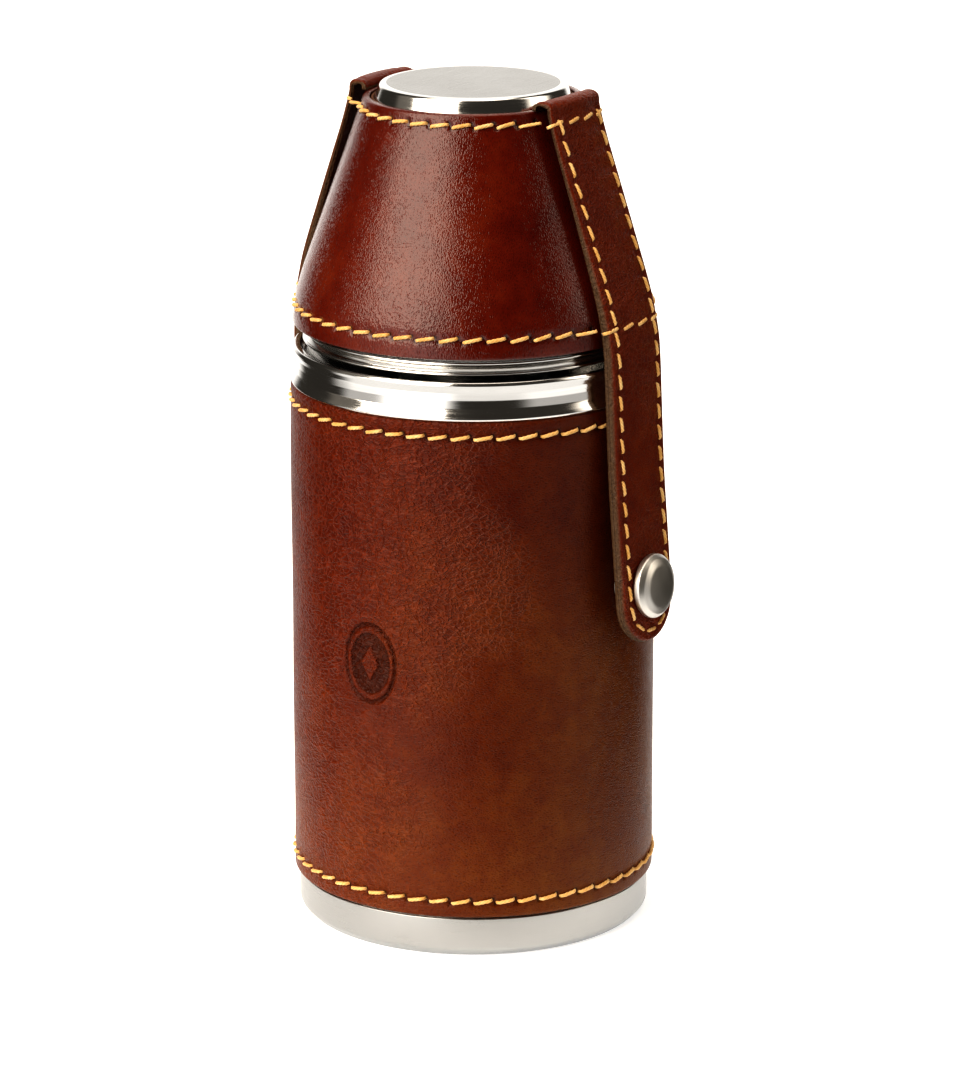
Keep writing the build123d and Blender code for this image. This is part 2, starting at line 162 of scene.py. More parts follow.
def leather(name, tones, grain_axis=(1, 1, 1), crease=1.0, grain=1.0, swell=0.8, coat=0.5,
            roughness=0.38, fade=0.0, key_light_side=(0, 0, 0), net=0.0, offset=(0, 0, 0),
            edge_tone=(0.075, 0.05, 0.035)):
    """Waxed full-grain leather. tones are dark, middle and light; grain_axis stretches the creases."""
    material, tree, shader = new_material(name)
    coords = object_coords(tree, grain_axis, offset)
    plain = object_coords(tree, (1, 1, 1), offset)
    # slow colour clouds, finer mottling, and paler towards the foot
    clouds = noise(tree, plain, 38.0, 4.0, 0.6)
    mottle = noise(tree, plain, 260.0, 5.0, 0.65)
    height = node(tree, "ShaderNodeSeparateXYZ", {0: plain}).outputs[2]
    blend = math_node(tree, "ADD", math_node(tree, "MULTIPLY", clouds, 0.62),
                      math_node(tree, "MULTIPLY", mottle, 0.38))
    blend = math_node(tree, "ADD", blend, math_node(tree, "MULTIPLY", height, -fade))
    color = ramp(tree, blend, [(0.30, tones[0]), (0.5, tones[1]), (0.72, tones[2])])
    # long folds: thin lines where two stretched noises cross their middle value
    folds = None
    for stretch, scale, shift, width in (((0.6, 0.6, 1.4), 110.0, 0.0, 0.017),
                                         ((1.2, 1.2, 0.9), 150.0, 7.0, 0.020)):
        field = noise(tree, object_coords(tree, stretch, (shift, shift, shift)), scale, 3.0, 0.6, 0.5)
        away = math_node(tree, "ABSOLUTE", math_node(tree, "SUBTRACT", field, 0.5))
        line = remap(tree, away, 0.0, width, 0.0, 1.0, True)
        folds = line if folds is None else math_node(tree, "MULTIPLY", folds, line)
    # crease network: warped cell borders, strongest where a slow mask lets them show
    warp = node(tree, "ShaderNodeTexNoise", {"Vector": coords, "Scale": 420.0, "Detail": 3.0})
    warped = node(tree, "ShaderNodeVectorMath", {0: warp.outputs["Color"], 1: (0.0009, 0.0009, 0.0009),
                  2: coords}, operation="MULTIPLY_ADD").outputs[0]
    cells = node(tree, "ShaderNodeTexVoronoi", {"Vector": warped, "Scale": 860.0,
                 "Randomness": 1.0}, feature="DISTANCE_TO_EDGE").outputs["Distance"]
    fine = node(tree, "ShaderNodeTexVoronoi", {"Vector": warped, "Scale": 1850.0,
                "Randomness": 1.0}, feature="DISTANCE_TO_EDGE").outputs["Distance"]
    cell_line = remap(tree, cells, 0.0, 0.20, 0.0, 1.0, True)
    fine_line = remap(tree, fine, 0.0, 0.42, 0.0, 1.0, True)
    # side: how far a point lies towards the key light; it steers the crease mask and the painted light below
    side = node(tree, "ShaderNodeVectorMath", {0: plain, 1: key_light_side}, operation="DOT_PRODUCT").outputs["Value"]
    patches = math_node(tree, "ADD", noise(tree, plain, 34.0, 3.0), side)
    mask = remap(tree, patches, 0.44 - net, 0.68 - net, 0.08, 1.0, True)
    mask = math_node(tree, "MULTIPLY", mask, crease)
    ridges = math_node(tree, "SUBTRACT", 1.0, cell_line)
    folded = math_node(tree, "SUBTRACT", 1.0, folds)
    relief = math_node(tree, "MULTIPLY", ridges, math_node(tree, "MULTIPLY", mask, 0.85))
    relief = math_node(tree, "ADD", relief, math_node(tree, "MULTIPLY", folded, math_node(
        tree, "MULTIPLY", mask, 0.95)))
    relief = math_node(tree, "SUBTRACT", relief, math_node(tree, "MULTIPLY", fine_line, 0.36 * grain))
    pores = noise(tree, coords, 2600.0, 2.0, 0.5)
    relief = math_node(tree, "ADD", relief, math_node(tree, "MULTIPLY", pores, 0.26 * grain))
    slow = noise(tree, plain, 90.0, 3.0)
    relief = math_node(tree, "ADD", relief, math_node(tree, "MULTIPLY", slow, swell))
    # painted highlight: the colour is made paler and tanner along the crease ridges and folds, standing in for
    # light caught on them
    painted_ridge_highlight = math_node(tree, "MULTIPLY", math_node(tree, "ADD", math_node(tree, "MULTIPLY", ridges, 1.1),
                                                   folded), mask)
    shade = math_node(tree, "ADD", remap(tree, fine_line, 0.0, 1.0, 1.20, 0.86),
                      math_node(tree, "MULTIPLY", painted_ridge_highlight, 0.12))
    color = mix_color(tree, 1.0, color, node(tree, "ShaderNodeCombineColor",
                      {0: shade, 1: shade, 2: shade}).outputs[0], "MULTIPLY")
    # painted highlight: blend towards a pale tan on the ridges
    color = mix_color(tree, math_node(tree, "MULTIPLY", painted_ridge_highlight, 0.11, True), color, (0.28, 0.080, 0.030, 1))
    # painted light: the side towards the key light is tinted redder and darker, and the side away from it
    # yellower and paler
    dye = remap(tree, side, -0.33, 0.33, 1.22, 0.68)
    color = mix_color(tree, 1.0, color, node(tree, "ShaderNodeCombineColor",
                      {0: 1.0, 1: dye, 2: dye}).outputs[0], "MULTIPLY")
    # painted edge and needle holes come from the mesh; the darkening at the needle holes is painted shade, and
    # the stamped field and the joint between strap layers use the same dark as their own tone
    edge = node(tree, "ShaderNodeAttribute", attribute_name="edge").outputs["Fac"]
    hole = node(tree, "ShaderNodeAttribute", attribute_name="hole").outputs["Fac"]
    fibre = noise(tree, object_coords(tree, (1, 1, 1)), 1500.0, 4.0, 0.7)
    edge_color = ramp(tree, fibre, [(0.3, tuple(c * 0.6 for c in edge_tone)), (0.6, edge_tone),
                      (0.85, tuple(c * 1.7 for c in edge_tone))])
    color = mix_color(tree, edge, color, edge_color)
    # painted shade: near black where the hole attribute is set
    color = mix_color(tree, hole, color, (0.012, 0.003, 0.001, 1))
    tree.links.new(color, shader.inputs["Base Color"])
    rough = remap(tree, mottle, 0.3, 0.7, roughness - 0.05, roughness + 0.09)
    rough = math_node(tree, "ADD", rough, math_node(tree, "MULTIPLY", edge, 0.3), True)
    tree.links.new(rough, shader.inputs["Roughness"])
    bump = node(tree, "ShaderNodeBump", {"Strength": 1.0, "Distance": 0.00013, "Height": relief})
    tree.links.new(bump.outputs[0], shader.inputs["Normal"])
    tree.links.new(bump.outputs[0], shader.inputs["Coat Normal"])
    shader.inputs["Specular IOR Level"].default_value = 0.1
    shader.inputs["Coat Weight"].default_value = coat
    shader.inputs["Coat Roughness"].default_value = 0.07
    shader.inputs["Coat IOR"].default_value = 1.5
    return material


def steel(name, tone, roughness, brush=None, brush_depth=0.00001, wear=0.0):
    """Stainless steel. brush is the scale of the brushing lines along each axis."""
    material, tree, shader = new_material(name)
    shader.inputs["Metallic"].default_value = 1.0
    plain = object_coords(tree, (1, 1, 1))
    smudge = noise(tree, plain, 90.0, 4.0, 0.6)
    level = remap(tree, smudge, 0.3, 0.7, 0.94, 1.0)
    color = mix_color(tree, 1.0, (*tone, 1), node(tree, "ShaderNodeCombineColor",
                      {0: level, 1: level, 2: level}).outputs[0], "MULTIPLY")
    tree.links.new(color, shader.inputs["Base Color"])
    rough = remap(tree, smudge, 0.3, 0.7, roughness * 0.85, roughness * 1.2)
    if brush:
        lines = noise(tree, object_coords(tree, brush), 1.0, 6.0, 0.75)
        rough = math_node(tree, "ADD", rough, remap(tree, lines, 0.35, 0.65, -0.05, 0.07), True)
        bump = node(tree, "ShaderNodeBump", {"Strength": 0.5, "Distance": brush_depth, "Height": lines})
        tree.links.new(bump.outputs[0], shader.inputs["Normal"])
    elif wear:
        marks = noise(tree, object_coords(tree, (1, 1, 3)), 300.0, 5.0, 0.7)
        bump = node(tree, "ShaderNodeBump", {"Strength": 0.25, "Distance": wear, "Height": marks})
        tree.links.new(bump.outputs[0], shader.inputs["Normal"])
    tree.links.new(rough, shader.inputs["Roughness"])
    return material


def thread_material():
    material, tree, shader = new_material("waxed_thread")
    plain = object_coords(tree, (1, 1, 1))
    tint = noise(tree, plain, 500.0, 3.0)
    hair = noise(tree, plain, 5200.0, 3.0, 0.7)
    color = ramp(tree, tint, [(0.3, (0.72, 0.40, 0.11)), (0.52, (0.88, 0.54, 0.20)),
                              (0.75, (0.95, 0.70, 0.34))])
    # painted shade: the thread is darker in the grooves between the twisted plies
    ply_groove_shade = node(tree, "ShaderNodeAttribute", attribute_name="ply_groove_shade").outputs["Fac"]
    color = mix_color(tree, math_node(tree, "MULTIPLY", ply_groove_shade, 0.6), color, (0.42, 0.17, 0.025, 1))
    tree.links.new(color, shader.inputs["Base Color"])
    shader.inputs["Roughness"].default_value = 0.5
    shader.inputs["Sheen Weight"].default_value = 0.25
    shader.inputs["Sheen Roughness"].default_value = 0.4
    bump = node(tree, "ShaderNodeBump", {"Strength": 0.6, "Distance": 0.00006, "Height": hair})
    tree.links.new(bump.outputs[0], shader.inputs["Normal"])
    return material


def plastic(name, tone, roughness):
    material, tree, shader = new_material(name)
    grain = noise(tree, object_coords(tree, (1, 1, 1)), 900.0, 4.0)
    color = ramp(tree, grain, [(0.3, tuple(c * 0.85 for c in tone)), (0.7, tone)])
    tree.links.new(color, shader.inputs["Base Color"])
    tree.links.new(remap(tree, grain, 0.3, 0.7, roughness - 0.05, roughness + 0.08),
                   shader.inputs["Roughness"])
    bump = node(tree, "ShaderNodeBump", {"Strength": 0.3, "Distance": 0.00003, "Height": grain})
    tree.links.new(bump.outputs[0], shader.inputs["Normal"])
    return material


BODY_TONES = [(0.072, 0.0088, 0.0005), (0.103, 0.0184, 0.0013), (0.147, 0.038, 0.0040)]
# the side direction points towards the key light on the left and up: the body is painted redder and darker
# there, and paler and yellower away from it
body_leather = leather("body_leather", BODY_TONES, grain_axis=(0.8, 0.8, 1.3), crease=1.25, grain=1.15,
                       coat=0.20, roughness=0.40, fade=1.7,
                       key_light_side=(-8.0, -5.4, 3.0), offset=(0.0, 0.0, -0.055),
                       edge_tone=(0.20, 0.07, 0.03))
CONE_TONES = [(0.066, 0.0040, 0.0004), (0.104, 0.0086, 0.0009), (0.154, 0.021, 0.0032)]
cone_leather = leather("cone_leather", CONE_TONES, grain_axis=(1.4, 1.4, 0.65), crease=0.15, grain=0.55,
                       swell=0.25, coat=0.95, roughness=0.3,
                       offset=(0.3, 0.1, 0.2), edge_tone=(0.16, 0.055, 0.025))
STRAP_TONES = [(0.083, 0.0080, 0.0006), (0.122, 0.0145, 0.0010), (0.168, 0.028, 0.0030)]
strap_leather = leather("strap_leather", STRAP_TONES, grain_axis=(1.0, 1.0, 1.0), crease=0.9, grain=1.2,
                        swell=0.4, net=0.12, coat=0.25, roughness=0.42,
                        offset=(0.7, 0.4, 0.9), edge_tone=(0.115, 0.066, 0.036))
lining_leather = leather("lining_suede", [(0.07, 0.035, 0.02), (0.10, 0.05, 0.03), (0.14, 0.075, 0.045)],
                         crease=0.3, grain=1.3, coat=0.0, roughness=0.8, offset=(0.2, 0.9, 0.1))
brushed = steel("brushed_base", (0.45, 0.455, 0.455), 0.30, brush=(60, 60, 9000), brush_depth=0.000008)
polished = steel("polished_steel", (0.80, 0.79, 0.775), 0.12, brush=(40, 40, 5000), brush_depth=0.000002)
satin = steel("satin_steel", (0.35, 0.343, 0.332), 0.24, brush=(7000, 90, 90), brush_depth=0.000002)
turned = steel("turned_steel", (0.70, 0.69, 0.67), 0.28, brush=(200, 200, 9000), brush_depth=0.000012)
nickel = steel("nickel_snap", (0.66, 0.64, 0.61), 0.36, wear=0.00001)
thread = thread_material()
rubber = plastic("seal_rubber", (0.72, 0.72, 0.69), 0.55)
insert_plastic = plastic("insert_plastic", (0.035, 0.035, 0.035), 0.42)

# ------------------------------------------------------------------- meshes


def make_object(name, verts, faces, material, attributes=None, recalc=False):
    mesh = bpy.data.meshes.new(name)
    mesh.from_pydata([tuple(v) for v in np.asarray(verts) * MM], [], faces)
    for key, values in (attributes or {}).items():
        layer = mesh.attributes.new(key, "FLOAT", "POINT")
        layer.data.foreach_set("value", np.asarray(values, np.float32))
    mesh.validate()
    if recalc:
        bm = bmesh.new()
        bm.from_mesh(mesh)
        bmesh.ops.remove_doubles(bm, verts=bm.verts, dist=1e-6)
        bmesh.ops.recalc_face_normals(bm, faces=bm.faces)
        bm.to_mesh(mesh)
        bm.free()
    mesh.shade_smooth()
    obj = bpy.data.objects.new(name, mesh)
    bpy.context.scene.collection.objects.link(obj)
    obj.data.materials.append(material)
    return obj


def grid_faces(rows, columns, wrap_rows=False, wrap_columns=False, start=0):
    faces = []
    for i in range(rows if wrap_rows else rows - 1):
        for j in range(columns if wrap_columns else columns - 1):
            a = i * columns + j
            b = i * columns + (j + 1) % columns
            c = ((i + 1) % rows) * columns + (j + 1) % columns
            d = ((i + 1) % rows) * columns + j
            faces.append((start + a, start + b, start + c, start + d))
    return faces


def rounded(corners, closed=False, arc=6):
    """A polyline through (x, z, radius) corners, each turned into a short arc."""
    points = []
    count = len(corners)
    for i, (x, z, radius) in enumerate(corners):
        here = np.array([x, z], float)
        if radius <= 0 or (not closed and i in (0, count - 1)):
            points.append(here)
            continue
        before = np.array(corners[i - 1][:2], float) - here
        after = np.array(corners[(i + 1) % count][:2], float) - here
        lb, la = np.linalg.norm(before), np.linalg.norm(after)
        ub, ua = before / lb, after / la
        half = math.acos(max(-1, min(1, float(ub @ ua)))) / 2
        cut = min(radius / math.tan(half), 0.48 * lb, 0.48 * la)
        radius = cut * math.tan(half)
        centre = here + (ub + ua) / np.linalg.norm(ub + ua) * radius / math.sin(half)
        first, last = here + ub * cut - centre, here + ua * cut - centre
        a0 = math.atan2(first[1], first[0])
        a1 = math.atan2(last[1], last[0])
        while a1 - a0 > math.pi:
            a1 -= 2 * math.pi
        while a1 - a0 < -math.pi:
            a1 += 2 * math.pi
        for t in np.linspace(0, 1, arc):
            a = a0 + (a1 - a0) * t
            points.append(centre + radius * np.array([math.cos(a), math.sin(a)]))
    return np.array(points)


def lathe(name, profile, material, segments=240, closed=False, axis=None):
    """Turns a (radius, height) profile about Z, or about the local frame given as axis."""
    angles = np.linspace(0, 2 * math.pi, segments, endpoint=False)
    profile = np.asarray(profile, float)
    r, z = profile[:, 0][None, :], profile[:, 1][None, :]
    points = np.stack([r * np.cos(angles)[:, None], r * np.sin(angles)[:, None],
                       z * np.ones((segments, 1))], axis=-1)
    if axis is not None:
        origin, direction = (np.array(v, float) for v in axis)
        direction = direction / np.linalg.norm(direction)
        side = np.cross([0, 1, 0], direction)
        side = side / np.linalg.norm(side)
        other = np.cross(direction, side)
        points = origin + points[..., 0:1] * side + points[..., 1:2] * other + points[..., 2:3] * direction
    faces = grid_faces(segments, profile.shape[0], True, closed)
    return make_object(name, points.reshape(-1, 3), faces, material, recalc=True)


def smoothstep(value, low, high):
    t = np.clip((value - low) / (high - low), 0, 1)
    return t * t * (3 - 2 * t)


def wave(a, b, seed):
    """Slow unevenness of hand-made leather, about +-1, from a few mixed waves."""
    local = np.random.default_rng(seed)
    total = np.zeros(np.broadcast(a, b).shape)
    for _ in range(7):
        k1, k2 = local.integers(1, 7), local.uniform(0.02, 0.14)
        total = total + np.sin(k1 * a + k2 * b + local.uniform(0, 6.28)) / 3.0
    return total


# ------------------------------------------------------------------ stitching


def stitch_mesh(name, stitches, material, taper=1.0):
    """Twisted thread stitches. Each is (start, end, normal at start, normal at end, height of crown)."""
    rings, around = 15, 14
    t = np.linspace(0, 1, rings)
    phi = np.linspace(0, 2 * math.pi, around, endpoint=False)
    verts, faces, ply_groove_shade = [], [], []
    for start, end, n0, n1, lift in stitches:
        start, end = np.array(start, float), np.array(end, float)
        n0, n1 = np.array(n0, float), np.array(n1, float)
        run = end - start
        length = np.linalg.norm(run)
        along = run / length
        ends = np.clip(np.minimum(t, 1 - t) / 0.2, 0, 1)
        rise = -0.55 + (0.55 + lift) * np.sin(ends * math.pi / 2) ** 0.8
        rise = rise + 0.05 * np.sin(t * math.pi)
        normal = n0[None, :] * (1 - t)[:, None] + n1[None, :] * t[:, None]
        normal = normal / np.linalg.norm(normal, axis=1)[:, None]
        centre = start + run * t[:, None] + normal * rise[:, None]
        side = np.cross(along, normal)
        twist = 2 * math.pi * t * length / 2.5 + rng.uniform(0, 6.28)
        bulge = np.cos(3 * (phi[None, :] - twist[:, None]))
        thick = THREAD_R * (0.86 + 0.14 * np.sin(np.clip(t, 0, 1) * math.pi)) * taper
        radius = thick[:, None] * (1 + 0.13 * bulge)
        ring = centre[:, None, :] + radius[..., None] * (
            np.cos(phi)[None, :, None] * side[:, None, :] + np.sin(phi)[None, :, None] * normal[:, None, :])
        base = len(verts)
        verts.extend(ring.reshape(-1, 3))
        # painted shade in the grooves between the plies, where the thread is thinnest
        ply_groove_shade.extend(np.clip(-bulge * 0.9 - 0.25, 0, 1).reshape(-1))
        faces.extend(grid_faces(rings, around, False, True, base))
        faces.append(tuple(base + k for k in reversed(range(around))))
        faces.append(tuple(base + (rings - 1) * around + k for k in range(around)))
    return make_object(name, np.array(verts), faces, material, {"ply_groove_shade": ply_groove_shade})


def row_stitches(count, z, radius_of, normal_of, length=STITCH, keep=lambda y, x: True):
    """A row round the axis. radius_of(angle, z) and normal_of(angle, z) give the surface under it."""
    found = []
    for index in range(count):
        middle = 2 * math.pi * (index + 0.5) / count
        spin = ROW_SLANT + rng.uniform(-2.0, 2.0)
        z_half = 0.5 * length * math.sin(math.radians(spin))
        r = radius_of(middle, z)
        if not keep(r * math.sin(middle), r * math.cos(middle)):
            continue
        a_half = 0.5 * length * math.cos(math.radians(spin)) / r
        pair = []
        for sign in (-1, 1):
            a, h = middle + sign * a_half, z + sign * z_half + rng.uniform(-0.06, 0.06)
            rr = radius_of(a, h)
            pair.append((np.array([rr * math.cos(a), rr * math.sin(a), h]), normal_of(a, h)))
        found.append((pair[0][0], pair[1][0], pair[0][1], pair[1][1], STITCH_LIFT))
    return found


# ------------------------------------------------------------------ the sleeve


def dents(angle, z, radius, rows):
    """Channel and needle holes of stitch rows on a turned surface: (depth in mm, painted shade at the needle
    holes).
    """
    depth = np.zeros(np.broadcast(angle, z).shape)
    painted_hole_shade = np.zeros_like(depth)
    for count, row_z, length, slant in rows:
        depth += 0.16 * np.exp(-((z - row_z) / 1.1) ** 2)
        step = 2 * math.pi / count
        local = (np.mod(angle, step) - 0.5 * step) * radius
        half = 0.5 * length * math.cos(math.radians(slant))
        climb = 0.5 * length * math.sin(math.radians(slant))
        for sign in (-1, 1):
            for shift in (-1, 0, 1):
                d2 = (local - sign * half - shift * step * radius) ** 2 + (z - row_z - sign * climb) ** 2
                depth += 0.40 * np.exp(-d2 / 0.22)
                # painted shade: darkness centred on each needle hole, standing in for the shade inside it
                painted_hole_shade = np.maximum(painted_hole_shade, np.exp(-d2 / 0.20))
    return depth, np.clip(painted_hole_shade * 1.1, 0, 1)


def emblem_depth(across, up):
    """Blind-stamped oval: a rim groove, a sunk field and a raised lozenge. Distances in mm."""
    oval = np.sqrt((across / 6.25) ** 2 + (up / 8.5) ** 2)
    groove = smoothstep(oval, 0.84, 0.88) * (1 - smoothstep(oval, 0.95, 0.99))
    field = 1 - smoothstep(oval, 0.70, 0.745)
    lozenge = np.abs(across) / 2.1 + np.abs(up) / 3.6
    raised = 1 - smoothstep(lozenge, 0.90, 1.05)
    return 0.5 * groove + 0.5 * field * (1 - 0.8 * raised), np.maximum(field * (1 - raised), 0.7 * groove)


SLEEVE_COUNT = round(2 * math.pi * SLEEVE_R / PITCH)
ROW_TOP = SLEEVE_TOP - 3.0
ROW_BOTTOM = SLEEVE_BOTTOM + 3.4
EMBLEM_Z = 58.5


def build_sleeve():
    fine = np.concatenate([np.arange(SLEEVE_BOTTOM + 0.9, SLEEVE_BOTTOM + 6.5, 0.3),
                           np.arange(SLEEVE_BOTTOM + 7, EMBLEM_Z - 9.5, 1.5),
                           np.arange(EMBLEM_Z - 9.2, EMBLEM_Z + 9.2, 0.22),
                           np.arange(EMBLEM_Z + 9.6, SLEEVE_TOP - 6.5, 1.5),
                           np.arange(SLEEVE_TOP - 6.2, SLEEVE_TOP - 0.9, 0.3)])
    edge = rounded([(SLEEVE_R, SLEEVE_TOP - 1.5, 0), (SLEEVE_R, SLEEVE_TOP, 0.75),
                    (SLEEVE_R - 1.7, SLEEVE_TOP, 0.3), (SLEEVE_R - 1.7, SLEEVE_TOP - 3, 0)], arc=7)
    top = edge[1:]
    bottom = np.array([(r, SLEEVE_BOTTOM + SLEEVE_TOP - z) for r, z in top])[::-1]
    profile = np.concatenate([bottom, np.stack([np.full(len(fine), SLEEVE_R), fine], 1), top])
    near = np.arange(-15, 15, 0.33)
    rest = np.arange(15, 345, 0.6)
    angles = np.radians(np.concatenate([near, rest]) - 90.0)
    a, z = np.meshgrid(angles, profile[:, 1], indexing="ij")
    r = np.repeat(profile[None, :, 0], len(angles), axis=0)
    outer = r > SLEEVE_R - 0.9
    depth, painted_hole_shade = dents(a, z, SLEEVE_R, [(SLEEVE_COUNT, ROW_TOP, STITCH, ROW_SLANT),
                                         (SLEEVE_COUNT, ROW_BOTTOM, STITCH, ROW_SLANT)])
    turn = np.mod(a + math.pi / 2 + math.pi, 2 * math.pi) - math.pi
    stamp, field = emblem_depth(turn * SLEEVE_R, z - EMBLEM_Z)
    uneven = 0.10 * wave(a, z, 5) * smoothstep(z, SLEEVE_BOTTOM, SLEEVE_BOTTOM + 12)
    uneven = uneven * (1 - smoothstep(z, SLEEVE_TOP - 12, SLEEVE_TOP - 1))
    r = r - np.where(outer, depth + stamp + 0.10 - uneven * 0.9, 0)
    edge_mark = np.clip((SLEEVE_R - 0.32 - np.repeat(profile[None, :, 0], len(angles), 0)) / 0.25, 0, 1)
    points = np.stack([r * np.cos(a), r * np.sin(a), z], -1)
    # hole colour: painted shade at the needle holes, plus the darker own tone of the stamped field
    hole = np.where(outer, np.clip(painted_hole_shade + field * 0.55, 0, 1), 0)
    obj = make_object("sleeve_skin", points.reshape(-1, 3),
                      grid_faces(len(angles), len(profile), True, True), body_leather,
                      {"edge": edge_mark.reshape(-1) * 0.8, "hole": hole.reshape(-1)})
    return obj


sleeve = build_sleeve()
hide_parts("sleeve")
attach(sleeve, "flask")


def outward(angle, height_slope=0.0):
    n = np.array([math.cos(angle), math.sin(angle), height_slope])
    return n / np.linalg.norm(n)


for label, row_z, covered in (("sleeve_top", ROW_TOP, True), ("sleeve_bottom", ROW_BOTTOM, False)):
    hidden = STRAP_HALF + 0.4
    piece = stitch_mesh(label + "_stitches", row_stitches(
        SLEEVE_COUNT, row_z, lambda a, h: SLEEVE_R - 0.28, lambda a, h: outward(a),
        keep=lambda y, x: not (covered and x < 0 and abs(y) < hidden)), thread)
    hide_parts(label + "_thread")
    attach(piece, "flask")

# ------------------------------------------------------------------- the cover

CONE = np.array([(21.4, COVER_TOP), (33.6, 129.9), (35.15, 124.2), (35.4, 121.5), (35.4, COVER_BOTTOM)])


def cone_radius(z):
    """Smoothed outer radius of the leather cone at a height."""
    z = np.asarray(z, float)
    total = 0
    for shift, weight in ((-2.4, 0.12), (-1.2, 0.23), (0, 0.3), (1.2, 0.23), (2.4, 0.12)):
        total = total + weight * np.interp(z + shift, CONE[::-1, 1], CONE[::-1, 0])
    keep = np.interp(z, CONE[::-1, 1], CONE[::-1, 0])
    near_end = smoothstep(z, COVER_TOP - 4, COVER_TOP - 2)
    return total * (1 - near_end) + keep * near_end


def cone_slope(z):
    return float((cone_radius(z - 0.3) - cone_radius(z + 0.3)) / 0.6)


COVER_LOW_ROW = COVER_BOTTOM + 3.8
COVER_HIGH_ROW = COVER_TOP - 2.2
LOW_COUNT = 48
HIGH_COUNT = 32


def build_cone():
    heights = np.concatenate([np.arange(COVER_BOTTOM + 0.8, COVER_BOTTOM + 7, 0.3),
                              np.arange(COVER_BOTTOM + 7.5, COVER_TOP - 5.5, 1.0),
                              np.arange(COVER_TOP - 5.2, COVER_TOP - 0.9, 0.3)])
    outer = np.stack([cone_radius(heights), heights], 1)
    top = rounded([(*outer[-1], 0), (21.4, COVER_TOP, 0.8), (19.9, COVER_TOP, 0.35),
                   (20.8, COVER_TOP - 3, 0)], arc=7)[1:]
    bottom = rounded([(34.3, 124.0, 0), (34.35, COVER_BOTTOM, 0.35), (35.4, COVER_BOTTOM, 0.45),
                      (*outer[0], 0)], arc=6)[:-1]
    inner = np.array([(33.0, 127.2), (32.1, 129.7)])[::-1]
    profile = np.concatenate([inner, bottom, outer, top])
    angles = np.radians(np.arange(0, 360, 0.6))
    a, z = np.meshgrid(angles, profile[:, 1], indexing="ij")
    r = np.repeat(profile[None, :, 0], len(angles), axis=0)
    base = cone_radius(z)
    skin = r > base - 0.75
    low, painted_hole_shade_low = dents(a, z, cone_radius(COVER_LOW_ROW), [(LOW_COUNT, COVER_LOW_ROW, STITCH, ROW_SLANT)])
    high, painted_hole_shade_high = dents(a, z, cone_radius(COVER_HIGH_ROW), [(HIGH_COUNT, COVER_HIGH_ROW, STITCH, ROW_SLANT)])
    uneven = 0.09 * wave(a, z, 9) * smoothstep(z, COVER_BOTTOM, COVER_BOTTOM + 10)
    uneven = uneven * (1 - smoothstep(z, COVER_TOP - 10, COVER_TOP - 1))
    r = r - np.where(skin, 0.8 * (low + high) + 0.06 - uneven, 0)
    mark = np.clip((base - 0.35 - np.repeat(profile[None, :, 0], len(angles), 0)) / 0.3, 0, 1)
    mark = np.where(z > COVER_TOP - 3, mark * 0.35, mark * 0.9)
    points = np.stack([r * np.cos(a), r * np.sin(a), z], -1)
    # painted shade at the needle holes of both cover rows
    hole = np.where(skin, np.maximum(painted_hole_shade_low, painted_hole_shade_high), 0)
    return make_object("cone_skin", points.reshape(-1, 3), grid_faces(len(angles), len(profile), True, True),
                       cone_leather, {"edge": mark.reshape(-1), "hole": hole.reshape(-1)})


cone = build_cone()
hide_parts("cover_leather")
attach(cone, "cover")

lining = lathe("cone_lining", rounded([
               (19.75, COVER_TOP - 0.35, 0.2), (31.85, 129.6, 0.5), (33.8, 125.0, 0.2),
               (33.1, 125.0, 0.2), (31.35, 129.7, 0.5), (19.2, COVER_TOP - 0.35, 0.25)], True, 4),
               lining_leather, closed=True)
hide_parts("cover_lining")
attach(lining, "cover")


# ------------------------------------------------------------------ the straps


def spline(points, count):
    """Even points along a Catmull-Rom curve through (x, z) points."""
    p = np.array(points, float)
    p = np.vstack([2 * p[0] - p[1], p, 2 * p[-1] - p[-2]])
    dense = []
    for i in range(1, len(p) - 2):
        for t in np.linspace(0, 1, 60, endpoint=False):
            dense.append(0.5 * ((2 * p[i]) + (p[i + 1] - p[i - 1]) * t
                         + (2 * p[i - 1] - 5 * p[i] + 4 * p[i + 1] - p[i + 2]) * t * t
                         + (3 * p[i] - p[i - 1] - 3 * p[i + 1] + p[i + 2]) * t ** 3))
    dense.append(p[-2])
    dense = np.array(dense)
    distance = np.concatenate([[0], np.cumsum(np.linalg.norm(np.diff(dense, axis=0), axis=1))])
    s = np.linspace(0, distance[-1], count)
    evened = np.stack([np.interp(s, distance, dense[:, 0]), np.interp(s, distance, dense[:, 1])], 1)
    return evened, distance[-1]


